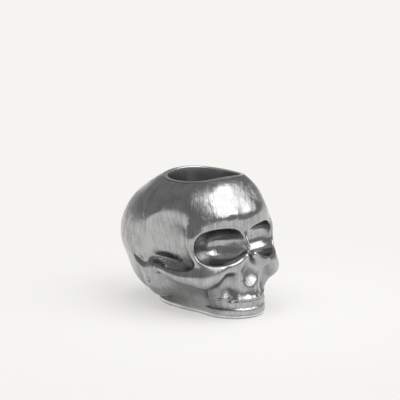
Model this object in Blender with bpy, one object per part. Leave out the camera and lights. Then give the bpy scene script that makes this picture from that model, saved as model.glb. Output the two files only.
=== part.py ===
"""Votive candle holder in silvered crystal glass, pressed as one piece in the shape of a skull
without its lower jaw. Metres, +Z up. The origin is the middle of the foot's underside, the face
looks along -Y. Every station and centre below is given for the +X half, and the other half
mirrors it.
"""
import math

import bmesh
import bpy
import numpy as np

NAME = "skull_votive"

# mouth and candle well
MOUTH_HEIGHT = 0.0830
MOUTH_DIP = 0.0020
MOUTH_DIP_REACH = 0.023
MOUTH_CENTRE_Y = 0.0075
LIP_WIDTH = 0.0023
WELL_FLOOR_HEIGHT = 0.036
WELL_FLOOR_RADIUS = 0.0205
WELL_CORNER = 0.0025

# brain case: a long ball tipped back, an upright one under the mouth and a low one beneath
CASE_CENTRE = (0.0, 0.0265, 0.0450)
CASE_RADII = (0.0386, 0.0434, 0.0354)
CASE_TILT = -16.0
CROWN_CENTRE = (0.0, 0.0050, 0.0495)
CROWN_RADII = (0.0366, 0.0356, 0.0378)
CROWN_SQUARE = 2.35
CROWN_BLEND = 0.012
BASE_CENTRE = (0.0, 0.0200, 0.0206)
BASE_RADII = (0.0336, 0.0404, 0.0200)
BASE_BLEND = 0.007
FACE_CORE_CENTRE = (0.0, -0.0090, 0.0380)
FACE_CORE_RADII = (0.0265, 0.0190, 0.0280)
FACE_CORE_SQUARE = 2.4
FACE_CORE_BLEND = 0.008

# hollows of the temple, above and below the cheek arch
TEMPLE_CENTRE = (0.0460, -0.0060, 0.0430)
TEMPLE_RADII = (0.0180, 0.0180, 0.0180)
TEMPLE_BLEND = 0.010
ARCH_GAP_CENTRE = (0.0400, -0.0010, 0.0318)
ARCH_GAP_RADII = (0.0125, 0.0145, 0.0045)
ARCH_GAP_TILT = 8.0
ARCH_GAP_BLEND = 0.0055
PIT_CENTRE = (0.0380, -0.0088, 0.0405)
PIT_RADII = (0.0086, 0.0080, 0.0120)
PIT_BLEND = 0.008
UNDER_ARCH_CENTRE = (0.0430, -0.0035, 0.0145)
UNDER_ARCH_RADII = (0.0165, 0.0175, 0.0095)
UNDER_ARCH_BLEND = 0.006

# bars of bone, each through stations of x, y, z and radius
BROW = (
    (0.0, -0.0230, 0.0580, 0.0050),
    (0.0100, -0.0222, 0.0598, 0.0054),
    (0.0188, -0.0186, 0.0582, 0.0046),
    (0.0250, -0.0165, 0.0540, 0.0038),
    (0.0288, -0.0168, 0.0492, 0.0030),
)
EYE_RIM = (
    (0.0286, -0.0170, 0.0512, 0.0030),
    (0.0303, -0.0168, 0.0460, 0.0030),
    (0.0300, -0.0195, 0.0395, 0.0028),
    (0.0270, -0.0245, 0.0340, 0.0028),
    (0.0200, -0.0285, 0.0320, 0.0030),
    (0.0120, -0.0320, 0.0345, 0.0030),
)
NOSE_SIDE = (
    (0.0125, -0.0320, 0.0322, 0.0028),
    (0.0078, -0.0338, 0.0340, 0.0030),
    (0.0034, -0.0360, 0.0376, 0.0022),
)
NOSE_BRIDGE = (
    (0.0, -0.0240, 0.0560, 0.0034),
    (0.0, -0.0272, 0.0505, 0.0018),
    (0.0, -0.0366, 0.0415, 0.0020),
)
CHEEK_ARCH = (
    (0.0140, -0.0310, 0.0290, 0.0048),
    (0.0240, -0.0275, 0.0272, 0.0059),
    (0.0305, -0.0215, 0.0262, 0.0053),
    (0.0350, -0.0145, 0.0260, 0.0041),
    (0.0370, -0.0060, 0.0268, 0.0029),
    (0.0374, 0.0040, 0.0280, 0.0022),
    (0.0362, 0.0140, 0.0278, 0.0019),
)
CHEEK_THINNING = (1.3, 1.1, 1.0)
BROW_BLEND = 0.008
RIM_BLEND = 0.005
BRIDGE_BLEND = 0.006
NOSE_SIDE_BLEND = 0.004
CHEEK_BUTTRESS = (
    (0.0265, -0.0235, 0.0240, 0.0038),
    (0.0205, -0.0240, 0.0185, 0.0034),
    (0.0170, -0.0235, 0.0130, 0.0034),
)
EAR_CREST = (
    (0.0362, 0.0080, 0.0280, 0.0016),
    (0.0372, 0.0150, 0.0262, 0.0014),
    (0.0374, 0.0220, 0.0265, 0.0012),
    (0.0370, 0.0300, 0.0310, 0.0010),
    (0.0355, 0.0370, 0.0400, 0.0004),
)
MASTOID_CENTRE = (0.0290, 0.0145, 0.0200)
MASTOID_RADII = (0.0090, 0.0098, 0.0122)
MASTOID_TILT = -25.0
MASTOID_BLEND = 0.005
CREST_BLEND = 0.003

# eye sockets, nose opening and canine hollows
SOCKET_CENTRE = (0.0169, -0.0310, 0.0447)
SOCKET_RADII = (0.0148, 0.0168, 0.0106)
SOCKET_TIP = -11.0
SOCKET_SLANT = -8.0
SOCKET_TURN = -18.0
SOCKET_SQUARE = 2.7
SOCKET_BLEND = 0.0016
NOSE_LOW_CENTRE = (0.0, -0.0420, 0.0285)
NOSE_LOW_RADII = (0.0086, 0.0084, 0.0092)
NOSE_HIGH_CENTRE = (0.0, -0.0392, 0.0340)
NOSE_HIGH_RADII = (0.0056, 0.0066, 0.0094)
NOSE_LOW_SQUARE = 2.3
NOSE_JOIN = 0.003
NOSE_BLEND = 0.0024
CANINE_CENTRE = (0.0148, -0.0368, 0.0203)
CANINE_RADII = (0.0058, 0.0080, 0.0088)
CANINE_BLEND = 0.003

# upper jaw, teeth, the rounded band under them and the foot
JAW_CENTRE_Y = -0.0200
JAW_HALF_WIDTH = 0.0193
JAW_HALF_LENGTH = 0.0203
JAW_TOP = 0.028
JAW_ROUNDING = 0.002
JAW_BLEND = 0.005
JAW_LEAN = 0.55
JAW_LEAN_HEIGHT = 0.0105
JAW_LEAN_REACH = 0.0095
PALATE_CENTRE = (0.0, -0.0170, 0.0250)
PALATE_RADII = (0.0185, 0.0200, 0.0190)
PALATE_SQUARE = 2.5
PALATE_BLEND = 0.003
GUM_HEIGHT = 0.0122
TEETH_FOOT = 0.0066
TEETH_COUNT = 14
TEETH_GROOVE = 0.0012
TEETH_ROUNDING = 0.0008
TEETH_FADE = 0.004
BITE_GROOVE = 0.0007
GUM_BEAD = 0.0006
GUM_BEAD_REACH = 0.0007
SKIRT_CENTRE_Y = 0.0040
SKIRT_HALF_WIDTH = 0.0215
SKIRT_HALF_LENGTH = 0.0300
SKIRT_HEIGHT = 0.0120
SKIRT_ROUNDING = 0.0040
SKIRT_BLEND = 0.006
BAND_CENTRE_Y = -0.0195
BAND_HALF_WIDTH = 0.0189
BAND_HALF_LENGTH = 0.0206
BAND_HEIGHT = 0.0072
BAND_ROUNDING = 0.0036
BAND_DEPTH = 0.0084
BAND_BLEND = 0.002
FOOT_FRONT_HALF_WIDTH = 0.0186
FOOT_FRONT_HALF_LENGTH = 0.0191
FOOT_BACK_CENTRE_Y = 0.0120
FOOT_BACK_HALF_WIDTH = 0.0222
FOOT_BACK_HALF_LENGTH = 0.0265
FOOT_BACK_SQUARE = 2.3
FOOT_WAIST = 0.006
FOOT_HEIGHT = 0.0034
FOOT_ROUNDING = 0.0004
FOOT_BLEND = 0.0015
FOOT_BEVEL = 0.0005

# mesh: columns round the axis and rows from the foot's middle over the mouth to the well's floor,
# thinned afterwards to this many triangles
COLUMNS = 176
FOOT_ROWS = 4
WALL_ROWS = 84
WELL_ROWS = 4
FLOOR_ROWS = 3
FACE_CROWDING = 0.40
CAST_STEPS = 30
HALVINGS = 40
FAN_TOP_ANGLE = 56.0
FAN_CROWDING = 1.6
FAN_RISE = 0.046
FAR_OUTSIDE = 0.075
EASING_ROUNDS = 30
SINKING_SHARE = 0.6
TRIANGLES = 11500


def smooth_union(a, b, blend):
    """Join two distances with a fillet about as wide as the blend."""
    h = np.clip(0.5 + 0.5 * (b - a) / blend, 0.0, 1.0)
    return b + (a - b) * h - blend * h * (1.0 - h)


def smooth_cut(body, cutter, blend):
    """Take the cutter out of the body, with a rounded edge."""
    return -smooth_union(-body, cutter, blend)


def near(points, low, high, shape, reach):
    """Distance to a shape that lies in a box, worked out in full only close to that box."""
    gap = np.maximum(np.maximum(low - points, points - high), 0.0)
    distance = np.sqrt((gap * gap).sum(1)) + 1e-6
    close = distance < reach
    if close.any():
        distance[close] = shape(points[close])
    return distance


def turned(points, about_x, about_y, about_z):
    """Points in the axes of a shape that is turned by these degrees."""
    x, y, z = points.T
    c, s = math.cos(math.radians(about_z)), math.sin(math.radians(about_z))
    x, y = c * x + s * y, c * y - s * x
    c, s = math.cos(math.radians(about_y)), math.sin(math.radians(about_y))
    z, x = c * z + s * x, c * x - s * z
    c, s = math.cos(math.radians(about_x)), math.sin(math.radians(about_x))
    y, z = c * y + s * z, c * z - s * y
    return np.stack([x, y, z], 1)


def ball(points, centre, radii, tilt=(0.0, 0.0, 0.0), square=2.0, reach=0.014):
    """Distance to a ball with three radii; a square above 2 gives it flatter sides."""
    centre = np.array(centre)
    radii = np.array(radii)

    def shape(p):
        q = np.abs(turned(p - centre, *tilt)) / radii + 1e-9
        size = (q ** square).sum(1) ** (1.0 / square)
        lean = q ** (square - 1.0) / radii * (size ** (1.0 - square))[:, None]
        return (size - 1.0) / np.sqrt((lean * lean).sum(1))
    return near(points, centre - radii.max(), centre + radii.max(), shape, reach)


def smooth_line(stations, per_span):
    """Points on a curve through all the stations."""
    s = np.array(stations)
    s = np.vstack([2.0 * s[0] - s[1], s, 2.0 * s[-1] - s[-2]])
    line = []
    for a, b, c, d in zip(s, s[1:], s[2:], s[3:]):
        for t in np.arange(per_span) / per_span:
            bend = (2.0 * a - 5.0 * b + 4.0 * c - d) * t ** 2 + (3.0 * b - a - 3.0 * c + d) * t ** 3
            line.append(0.5 * (2.0 * b + (c - a) * t + bend))
    line.append(s[-2])
    return np.array(line)


def bar(points, stations, thinning=(1.0, 1.0, 1.0), per_span=4, reach=0.009):
    """Distance to a bent bar of changing radius; a thinning above 1 flattens it along that axis."""
    thinning = np.array(thinning)
    line = smooth_line(stations, per_span)
    places = line[:, :3] * thinning
    radii = line[:, 3]

    def to_span(q, first):
        start = places[first]
        span = places[first + 1] - start
        t = np.clip(((q - start) * span).sum(1) / (span * span).sum(1), 0.0, 1.0)
        away = q - start - t[:, None] * span
        radius = radii[first] + (radii[first + 1] - radii[first]) * t
        return np.sqrt((away * away).sum(1)) - radius

    def shape(p):
        q = p * thinning
        squares = (q * q).sum(1)[:, None] - 2.0 * q @ places.T + (places * places).sum(1)
        closest = (np.sqrt(np.maximum(squares, 0.0)) - radii).argmin(1)
        before = to_span(q, np.maximum(closest - 1, 0))
        after = to_span(q, np.minimum(closest, len(places) - 2))
        return np.minimum(before, after) / thinning.max()
    return near(points, line[:, :3].min(0) - radii.max(), line[:, :3].max(0) + radii.max(), shape, reach)


def oval(x, y, centre_y, half_width, half_length, square=2.0):
    """Distance to an upright oval column."""
    a = np.abs(x) / half_width + 1e-9
    b = np.abs(y - centre_y) / half_length + 1e-9
    size = (a ** square + b ** square) ** (1.0 / square)
    slope = np.hypot(a ** (square - 1.0) / half_width, b ** (square - 1.0) / half_length)
    return (size - 1.0) / (slope * size ** (1.0 - square))


def slab(flat, height, half_height, rounding):
    """Distance to an upright slab, from the distance to its outline and to its middle height."""
    a = flat + rounding
    b = np.abs(height) - half_height + rounding
    outside = np.hypot(np.maximum(a, 0.0), np.maximum(b, 0.0))
    return np.minimum(np.maximum(a, b), 0.0) + outside - rounding


def brain_case(p):
    """Three balls run together, with the core of the face."""
    d = ball(p, CASE_CENTRE, CASE_RADII, tilt=(CASE_TILT, 0.0, 0.0))
    d = smooth_union(d, ball(p, CROWN_CENTRE, CROWN_RADII, square=CROWN_SQUARE), CROWN_BLEND)
    d = smooth_union(d, ball(p, BASE_CENTRE, BASE_RADII), BASE_BLEND)
    core = ball(p, FACE_CORE_CENTRE, FACE_CORE_RADII, square=FACE_CORE_SQUARE)
    return smooth_union(d, core, FACE_CORE_BLEND)


def temple_hollows(p, d):
    """The wide dish, the slot over the cheek arch, the pit behind the eye rim and the hollow below."""
    d = smooth_cut(d, ball(p, TEMPLE_CENTRE, TEMPLE_RADII), TEMPLE_BLEND)
    d = smooth_cut(d, ball(p, ARCH_GAP_CENTRE, ARCH_GAP_RADII, (ARCH_GAP_TILT, 0.0, 0.0)), ARCH_GAP_BLEND)
    d = smooth_cut(d, ball(p, PIT_CENTRE, PIT_RADII), PIT_BLEND)
    return smooth_cut(d, ball(p, UNDER_ARCH_CENTRE, UNDER_ARCH_RADII), UNDER_ARCH_BLEND)


def face_bars(p, d):
    """Brows, eye rims, bridge of the nose and cheek arches."""
    d = smooth_union(d, bar(p, BROW), BROW_BLEND)
    d = smooth_union(d, bar(p, EYE_RIM), RIM_BLEND)
    d = smooth_union(d, bar(p, NOSE_BRIDGE), BRIDGE_BLEND)
    return smooth_union(d, bar(p, CHEEK_ARCH, CHEEK_THINNING, per_span=8), RIM_BLEND)


def teeth(p, d):
    """Rounded teeth parted by upright grooves, a bead along the gums and a groove where they bite."""
    x, y, z = p.T
    between = np.abs(np.cos(np.arctan2(x, JAW_CENTRE_Y - y) * TEETH_COUNT))
    across = np.arcsin(between) / (0.5 * math.pi)
    row = np.clip((GUM_HEIGHT - z) / TEETH_ROUNDING, 0.0, 1.0)
    row *= np.clip((z - TEETH_FOOT) / TEETH_ROUNDING, 0.0, 1.0)
    bead = np.exp(-((z - GUM_HEIGHT) / GUM_BEAD_REACH) ** 2)
    bite = np.exp(-((z - TEETH_FOOT) / GUM_BEAD_REACH) ** 2)
    front = np.clip((JAW_CENTRE_Y - y) / TEETH_FADE + 1.0, 0.0, 1.0)
    return d + front * (TEETH_GROOVE * across ** 3 * row + BITE_GROOVE * bite - GUM_BEAD * bead)


def upper_jaw(p, d):
    """The leaning arch of the teeth, the palate behind it and the buttresses up to the cheeks."""
    x, y, z = p.T
    half = 0.5 * JAW_TOP
    above = np.maximum(z - JAW_LEAN_HEIGHT, 0.0) / JAW_LEAN_REACH
    leaned = y - JAW_LEAN * JAW_LEAN_REACH * np.tanh(above)
    arch = oval(x, leaned, JAW_CENTRE_Y, JAW_HALF_WIDTH, JAW_HALF_LENGTH)
    arch = teeth(p, slab(arch, z - half, half, JAW_ROUNDING))
    arch = smooth_union(ball(p, PALATE_CENTRE, PALATE_RADII, square=PALATE_SQUARE), arch, PALATE_BLEND)
    d = smooth_union(d, arch, JAW_BLEND)
    return smooth_union(d, bar(p, CHEEK_BUTTRESS), RIM_BLEND)


def openings(p, d, sunk):
    """Nose opening, canine hollows and the sockets, which are pulled forward unless fully sunk."""
    nose = ball(p, NOSE_LOW_CENTRE, NOSE_LOW_RADII, square=NOSE_LOW_SQUARE)
    nose = smooth_union(nose, ball(p, NOSE_HIGH_CENTRE, NOSE_HIGH_RADII), NOSE_JOIN)
    d = smooth_cut(d, nose, NOSE_BLEND)
    d = smooth_cut(d, ball(p, CANINE_CENTRE, CANINE_RADII), CANINE_BLEND)
    centre = np.array(SOCKET_CENTRE) - (0.0, (1.0 - sunk) * 2.0 * SOCKET_RADII[1], 0.0)
    socket = ball(p, centre, SOCKET_RADII, (SOCKET_TIP, SOCKET_SLANT, SOCKET_TURN), SOCKET_SQUARE)
    d = smooth_cut(d, socket, SOCKET_BLEND)
    return smooth_union(d, bar(p, NOSE_SIDE), NOSE_SIDE_BLEND)


def ear_region(p, d):
    """The knob behind the jaw and the crest behind the cheek arch."""
    knob = ball(p, MASTOID_CENTRE, MASTOID_RADII, (MASTOID_TILT, 0.0, 0.0))
    return smooth_union(smooth_union(d, knob, MASTOID_BLEND), bar(p, EAR_CREST), CREST_BLEND)


def band_and_foot(p, d):
    """The skirt under the skull, the rounded band under the teeth and the foot."""
    x, y, z = p.T
    skirt = oval(x, y, SKIRT_CENTRE_Y, SKIRT_HALF_WIDTH, SKIRT_HALF_LENGTH)
    d = smooth_union(d, slab(skirt, z, SKIRT_HEIGHT, SKIRT_ROUNDING), SKIRT_BLEND)
    band = oval(x, y, BAND_CENTRE_Y, BAND_HALF_WIDTH, BAND_HALF_LENGTH)
    half = 0.5 * BAND_DEPTH
    d = smooth_union(d, slab(band, z - BAND_HEIGHT + half, half, BAND_ROUNDING), BAND_BLEND)
    front = oval(x, y, BAND_CENTRE_Y, FOOT_FRONT_HALF_WIDTH, FOOT_FRONT_HALF_LENGTH)
    back = oval(x, y, FOOT_BACK_CENTRE_Y, FOOT_BACK_HALF_WIDTH, FOOT_BACK_HALF_LENGTH, FOOT_BACK_SQUARE)
    foot = smooth_union(front, back, FOOT_WAIST)
    return smooth_union(d, slab(foot, z, FOOT_HEIGHT, FOOT_ROUNDING), FOOT_BLEND)


def skin(points, sunk=1.0):
    """Distance to the outer form, before the mouth and the underside are cut flat."""
    p = points.copy()
    p[:, 0] = np.abs(p[:, 0])
    d = temple_hollows(p, brain_case(p))
    d = upper_jaw(p, face_bars(p, d))
    d = ear_region(p, openings(p, d, sunk))
    return band_and_foot(p, d)


def settle(points, rounds, sunk=1.0):
    """Move points along the steepest way onto the skin."""
    step = 1e-5
    longest = 0.002
    for _ in range(rounds):
        distance = skin(points, sunk)
        ahead = [skin(points + np.eye(3)[axis] * step, sunk) for axis in range(3)]
        lean = (np.stack(ahead, 1) - distance[:, None]) / step
        move = distance / np.maximum((lean * lean).sum(1), 0.1)
        points = points - np.clip(move, -longest, longest)[:, None] * lean
    return points


def cast(start, direction, far):
    """Outermost crossing of the skin without its sockets along rays, walked inwards from far."""
    reach = np.full(len(start), far)
    caution = 0.8
    for _ in range(CAST_STEPS):
        away = skin(start + direction * reach[:, None], 0.0)
        reach -= np.clip(caution * away, -0.001, 0.01)
    return start + direction * reach[:, None]


def mouth_height(x):
    """Height of the lip, which dips to both sides."""
    return MOUTH_HEIGHT - MOUTH_DIP * (x / MOUTH_DIP_REACH) ** 2


def column_angles():
    """Angles of the columns round the axis, closer together on the face."""
    turn = np.arange(COLUMNS) * 2.0 * math.pi / COLUMNS
    return turn - FACE_CROWDING * np.cos(turn)


def level_ring(angles, height):
    """Where the skin is at one height, or at the lip where height is None."""
    flat = np.stack([np.cos(angles), np.sin(angles), 0.0 * angles], 1)
    centre_y = MOUTH_CENTRE_Y if height is None else 0.0
    inside = np.full(COLUMNS, 0.010)
    outside = np.full(COLUMNS, 0.050)
    for _ in range(HALVINGS):
        middle = 0.5 * (inside + outside)
        ring = flat * middle[:, None] + (0.0, centre_y, 0.0)
        ring[:, 2] = mouth_height(ring[:, 0]) if height is None else height
        solid = skin(ring) < 0.0
        inside = np.where(solid, middle, inside)
        outside = np.where(solid, outside, middle)
    return ring


def wall_rows(angles, first, last):
    """Rows of the outer wall between two rings: cast from a fan, then eased apart as sockets sink."""
    step, angle = np.meshgrid(np.linspace(0.0, 1.0, WALL_ROWS + 2)[1:-1], angles, indexing="ij")
    step = step.ravel()
    angle = angle.ravel()
    lift = math.radians(FAN_TOP_ANGLE) * step ** FAN_CROWDING
    heart = np.stack([0.0 * step, MOUTH_CENTRE_Y * step, FOOT_HEIGHT + FAN_RISE * step], 1)
    direction = np.stack([np.cos(angle) * np.cos(lift), np.sin(angle) * np.cos(lift), np.sin(lift)], 1)
    inner = cast(heart, direction, FAR_OUTSIDE).reshape(WALL_ROWS, COLUMNS, 3)
    wall = np.concatenate([first[None], inner, last[None]])
    for turn in range(EASING_ROUNDS):
        sunk = min(1.0, turn / (SINKING_SHARE * EASING_ROUNDS))
        beside = np.roll(wall, 1, 1) + np.roll(wall, -1, 1)
        middle = 0.25 * (beside[1:-1] + wall[:-2] + wall[2:])
        eased = 0.5 * (wall[1:-1] + middle)
        wall[1:-1] = settle(eased.reshape(-1, 3), 1, sunk).reshape(eased.shape)
    wall[1:-1] = settle(wall[1:-1].reshape(-1, 3), 2).reshape(inner.shape)
    return list(wall)


def underside_rows(edge):
    """Rows of the flat underside, out to the edge ring."""
    rows = [edge * (k / FOOT_ROWS, k / FOOT_ROWS, 0.0) for k in range(1, FOOT_ROWS)]
    return rows + [edge * (1.0, 1.0, 0.0)]


def well_rows(rim):
    """Rows of the lip's inner edge, the well's wall with its rounded corner, and the floor."""
    centre = np.array((0.0, MOUTH_CENTRE_Y, 0.0))
    out = rim - centre
    out[:, 2] = 0.0
    radius = np.linalg.norm(out, axis=1)[:, None]
    away = out / radius
    lip = rim - away * LIP_WIDTH
    floor = centre + away * WELL_FLOOR_RADIUS + (0.0, 0.0, WELL_FLOOR_HEIGHT)
    corner_top = floor + (0.0, 0.0, WELL_CORNER)
    rows = [lip + (corner_top - lip) * k / WELL_ROWS for k in range(WELL_ROWS + 1)]
    for angle in (30.0, 60.0, 90.0):
        sink = WELL_CORNER * (1.0 - math.sin(math.radians(angle)))
        inset = WELL_CORNER * (1.0 - math.cos(math.radians(angle)))
        rows.append(floor - away * inset + (0.0, 0.0, sink))
    flat = WELL_FLOOR_RADIUS - WELL_CORNER
    middle = centre + (0.0, 0.0, WELL_FLOOR_HEIGHT)
    rows += [middle + away * flat * k / FLOOR_ROWS for k in range(FLOOR_ROWS - 1, 0, -1)]
    return rows


def all_rows():
    """All rings of points from the foot's middle to the middle of the well's floor."""
    angles = column_angles()
    bevel_ring = level_ring(angles, FOOT_BEVEL)
    edge = bevel_ring - FOOT_BEVEL * bevel_ring / np.linalg.norm(bevel_ring, axis=1)[:, None]
    foot_top = level_ring(angles, FOOT_HEIGHT - FOOT_ROUNDING)
    rim = level_ring(angles, None)
    return underside_rows(edge) + [bevel_ring] + wall_rows(angles, foot_top, rim) + well_rows(rim)


def make_skull(material, collection):
    """Pull a UV sphere over the form: its lower pole is the foot, its upper pole the well's floor."""
    rows = all_rows()
    bm = bmesh.new()
    bands = len(rows) + 1
    bmesh.ops.create_uvsphere(bm, u_segments=COLUMNS, v_segments=bands, radius=1.0)
    for vert in bm.verts:
        row = round((math.asin(max(-1.0, min(1.0, vert.co.z))) / math.pi + 0.5) * bands)
        column = round(math.atan2(vert.co.y, vert.co.x) / (2.0 * math.pi) * COLUMNS) % COLUMNS
        if row == 0:
            vert.co = (0.0, 0.0, 0.0)
        elif row == bands:
            vert.co = (0.0, MOUTH_CENTRE_Y, WELL_FLOOR_HEIGHT)
        else:
            vert.co = rows[row - 1][column]
    mesh = bpy.data.meshes.new(NAME)
    bm.to_mesh(mesh)
    bm.free()
    mesh.shade_smooth()
    mesh.set_sharp_from_angle(angle=math.radians(50.0))
    mesh.materials.append(material)
    skull = bpy.data.objects.new(NAME, mesh)
    collection.objects.link(skull)
    thin = skull.modifiers.new("thin", "DECIMATE")
    thin.ratio = TRIANGLES / (2.0 * COLUMNS * len(rows))
    thin.use_collapse_triangulate = True
    return skull


def silvered_glass():
    """Crystal glass under a silver mirror film."""
    material = bpy.data.materials.new("silvered_glass")
    material.use_nodes = True
    shader = material.node_tree.nodes["Principled BSDF"]
    shader.inputs["Base Color"].default_value = (0.46, 0.46, 0.47, 1.0)
    shader.inputs["Metallic"].default_value = 1.0
    shader.inputs["Roughness"].default_value = 0.10
    return material


def build():
    """Clear the file and model the holder."""
    for old in list(bpy.data.objects):
        bpy.data.objects.remove(old, do_unlink=True)
    collection = bpy.data.collections.new("skull_votive_holder")
    bpy.context.scene.collection.children.link(collection)
    make_skull(silvered_glass(), collection)


build()
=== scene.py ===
import math

import bpy
import numpy as np
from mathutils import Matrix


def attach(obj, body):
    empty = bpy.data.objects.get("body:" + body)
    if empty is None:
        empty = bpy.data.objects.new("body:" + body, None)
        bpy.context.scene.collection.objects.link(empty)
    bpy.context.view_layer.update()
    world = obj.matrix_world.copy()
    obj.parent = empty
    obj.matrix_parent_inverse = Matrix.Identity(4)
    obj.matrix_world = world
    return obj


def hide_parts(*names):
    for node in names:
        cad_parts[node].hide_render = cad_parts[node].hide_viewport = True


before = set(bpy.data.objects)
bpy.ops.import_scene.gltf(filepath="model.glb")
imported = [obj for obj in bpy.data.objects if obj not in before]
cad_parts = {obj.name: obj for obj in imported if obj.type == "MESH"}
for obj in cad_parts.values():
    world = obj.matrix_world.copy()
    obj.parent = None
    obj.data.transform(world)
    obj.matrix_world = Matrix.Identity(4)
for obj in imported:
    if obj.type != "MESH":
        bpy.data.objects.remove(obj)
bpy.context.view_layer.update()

# The brain case. It is blown out wide by the press: a long ball tipped back, an upright one under
# the candle mouth and a low one beneath, run together. Solid crystal glass, cast with the rest.
# All stations and centres are for the side of positive x, and the form mirrors them.
CASE_CENTRE = (0.0, 0.0265, 0.0450)
CASE_RADII = (0.0386, 0.0434, 0.0354)
CASE_TILT = -16.0
CROWN_CENTRE = (0.0, 0.0050, 0.0495)
CROWN_RADII = (0.0366, 0.0356, 0.0378)
CROWN_SQUARE = 2.35
CROWN_BLEND = 0.012
BASE_CENTRE = (0.0, 0.0200, 0.0206)
BASE_RADII = (0.0336, 0.0404, 0.0200)
BASE_BLEND = 0.007
FACE_CORE_CENTRE = (0.0, -0.0090, 0.0380)
FACE_CORE_RADII = (0.0265, 0.0190, 0.0280)
FACE_CORE_SQUARE = 2.4
FACE_CORE_BLEND = 0.008
MICRON = 0.000001
NOT_ZERO = 1e-9


def smooth_union(a, b, blend):
    """Join two distances with a fillet about as wide as the blend."""
    h = np.clip(0.5 + 0.5 * (b - a) / blend, 0.0, 1.0)
    return b + (a - b) * h - blend * h * (1.0 - h)


def smooth_cut(body, cutter, blend):
    """Take the cutter out of the body, with a rounded edge."""
    return -smooth_union(-body, cutter, blend)


def near(points, low, high, shape, reach):
    """Distance to a shape that lies in a box, worked out in full only close to that box."""
    gap = np.maximum(np.maximum(low - points, points - high), 0.0)
    distance = np.sqrt((gap * gap).sum(1)) + MICRON
    close = distance < reach
    if close.any():
        distance[close] = shape(points[close])
    return distance


def turned(points, about_x, about_y, about_z):
    """Points in the axes of a shape that is turned by these degrees."""
    x, y, z = points.T
    c, s = math.cos(math.radians(about_z)), math.sin(math.radians(about_z))
    x, y = c * x + s * y, c * y - s * x
    c, s = math.cos(math.radians(about_y)), math.sin(math.radians(about_y))
    z, x = c * z + s * x, c * x - s * z
    c, s = math.cos(math.radians(about_x)), math.sin(math.radians(about_x))
    y, z = c * y + s * z, c * z - s * y
    return np.stack([x, y, z], 1)


def ball(points, centre, radii, tilt=(0.0, 0.0, 0.0), square=2.0, reach=0.014):
    """Distance to a ball with three radii; a square above 2 gives it flatter sides."""
    centre = np.array(centre)
    radii = np.array(radii)

    def shape(p):
        q = np.abs(turned(p - centre, *tilt)) / radii + NOT_ZERO
        size = (q ** square).sum(1) ** (1.0 / square)
        lean = q ** (square - 1.0) / radii * (size ** (1.0 - square))[:, None]
        return (size - 1.0) / np.sqrt((lean * lean).sum(1))
    return near(points, centre - radii.max(), centre + radii.max(), shape, reach)


def smooth_line(stations, per_span):
    """Points on a curve through all the stations."""
    s = np.array(stations)
    s = np.vstack([2.0 * s[0] - s[1], s, 2.0 * s[-1] - s[-2]])
    line = []
    for a, b, c, d in zip(s, s[1:], s[2:], s[3:]):
        for t in np.arange(per_span) / per_span:
            bend = (2.0 * a - 5.0 * b + 4.0 * c - d) * t ** 2 + (3.0 * b - a - 3.0 * c + d) * t ** 3
            line.append(0.5 * (2.0 * b + (c - a) * t + bend))
    line.append(s[-2])
    return np.array(line)


def bar(points, stations, thinning=(1.0, 1.0, 1.0), per_span=4, reach=0.009):
    """Distance to a bent bar of changing radius; a thinning above 1 flattens it along that axis."""
    thinning = np.array(thinning)
    line = smooth_line(stations, per_span)
    places = line[:, :3] * thinning
    radii = line[:, 3]

    def to_span(q, first):
        start = places[first]
        span = places[first + 1] - start
        t = np.clip(((q - start) * span).sum(1) / (span * span).sum(1), 0.0, 1.0)
        away = q - start - t[:, None] * span
        radius = radii[first] + (radii[first + 1] - radii[first]) * t
        return np.sqrt((away * away).sum(1)) - radius

    def shape(p):
        q = p * thinning
        squares = (q * q).sum(1)[:, None] - 2.0 * q @ places.T + (places * places).sum(1)
        closest = (np.sqrt(np.maximum(squares, 0.0)) - radii).argmin(1)
        before = to_span(q, np.maximum(closest - 1, 0))
        after = to_span(q, np.minimum(closest, len(places) - 2))
        return np.minimum(before, after) / thinning.max()
    low = line[:, :3].min(0) - radii.max()
    high = line[:, :3].max(0) + radii.max()
    return near(points, low, high, shape, reach)


def oval(x, y, centre_y, half_width, half_length, square=2.0):
    """Distance to an upright oval column."""
    a = np.abs(x) / half_width + NOT_ZERO
    b = np.abs(y - centre_y) / half_length + NOT_ZERO
    size = (a ** square + b ** square) ** (1.0 / square)
    slope = np.hypot(a ** (square - 1.0) / half_width, b ** (square - 1.0) / half_length)
    return (size - 1.0) / (slope * size ** (1.0 - square))


def slab(flat, height, half_height, rounding):
    """Distance to an upright slab, from the distance to its outline and to its middle height."""
    a = flat + rounding
    b = np.abs(height) - half_height + rounding
    outside = np.hypot(np.maximum(a, 0.0), np.maximum(b, 0.0))
    return np.minimum(np.maximum(a, b), 0.0) + outside - rounding


def brain_case(p):
    """Three balls run together, with the core of the face."""
    d = ball(p, CASE_CENTRE, CASE_RADII, tilt=(CASE_TILT, 0.0, 0.0))
    d = smooth_union(d, ball(p, CROWN_CENTRE, CROWN_RADII, square=CROWN_SQUARE), CROWN_BLEND)
    d = smooth_union(d, ball(p, BASE_CENTRE, BASE_RADII), BASE_BLEND)
    core = ball(p, FACE_CORE_CENTRE, FACE_CORE_RADII, square=FACE_CORE_SQUARE)
    return smooth_union(d, core, FACE_CORE_BLEND)


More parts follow.
